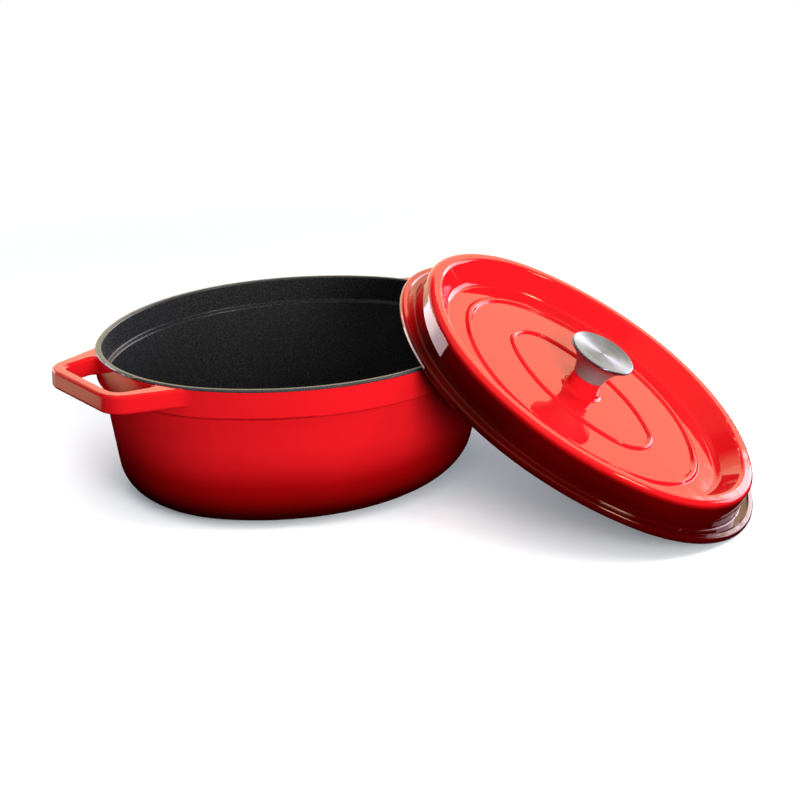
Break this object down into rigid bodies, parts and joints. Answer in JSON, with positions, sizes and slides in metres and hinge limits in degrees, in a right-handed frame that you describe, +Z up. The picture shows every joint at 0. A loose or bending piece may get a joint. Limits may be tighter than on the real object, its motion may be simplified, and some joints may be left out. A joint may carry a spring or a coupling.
{
  "type": "dutch oven",
  "caption": "Oval enamelled cast iron dutch oven with loop handles and a dished lid with a flared steel knob, the lid off and leaning on the rim.",
  "frame": {"origin": "centre of the pot's flat base, on the surface it stands on", "axes": "+Z up, +X along the pot's long axis through both loop handles, so the leaning lid is on the -Y side towards +X"},
  "size_m": [0.4218, 0.4151, 0.1521],
  "materials": {
    "cast_iron": "bare ground iron",
    "red_enamel": "gloss vitreous enamel, darker towards the base",
    "black_enamel": "satin speckled black vitreous enamel",
    "stainless": "brushed stainless steel"
  },
  "bodies": {
    "pot": {"pot_casting": "cast_iron", "pot_exterior_enamel": "red_enamel", "pot_interior_enamel": "black_enamel"},
    "lid": {"lid_casting": "cast_iron", "lid_exterior_enamel": "red_enamel", "lid_interior_enamel": "black_enamel", "knob": "stainless", "knob_screw": "stainless", "knob_washer": "stainless"}
  },
  "joints": [
    {"name": "lid_lift", "type": "slide", "parent": "pot", "child": "lid", "axis": [0.2252, -0.4149, 0.8816], "range_m": [0, 0.25]}
  ]
}
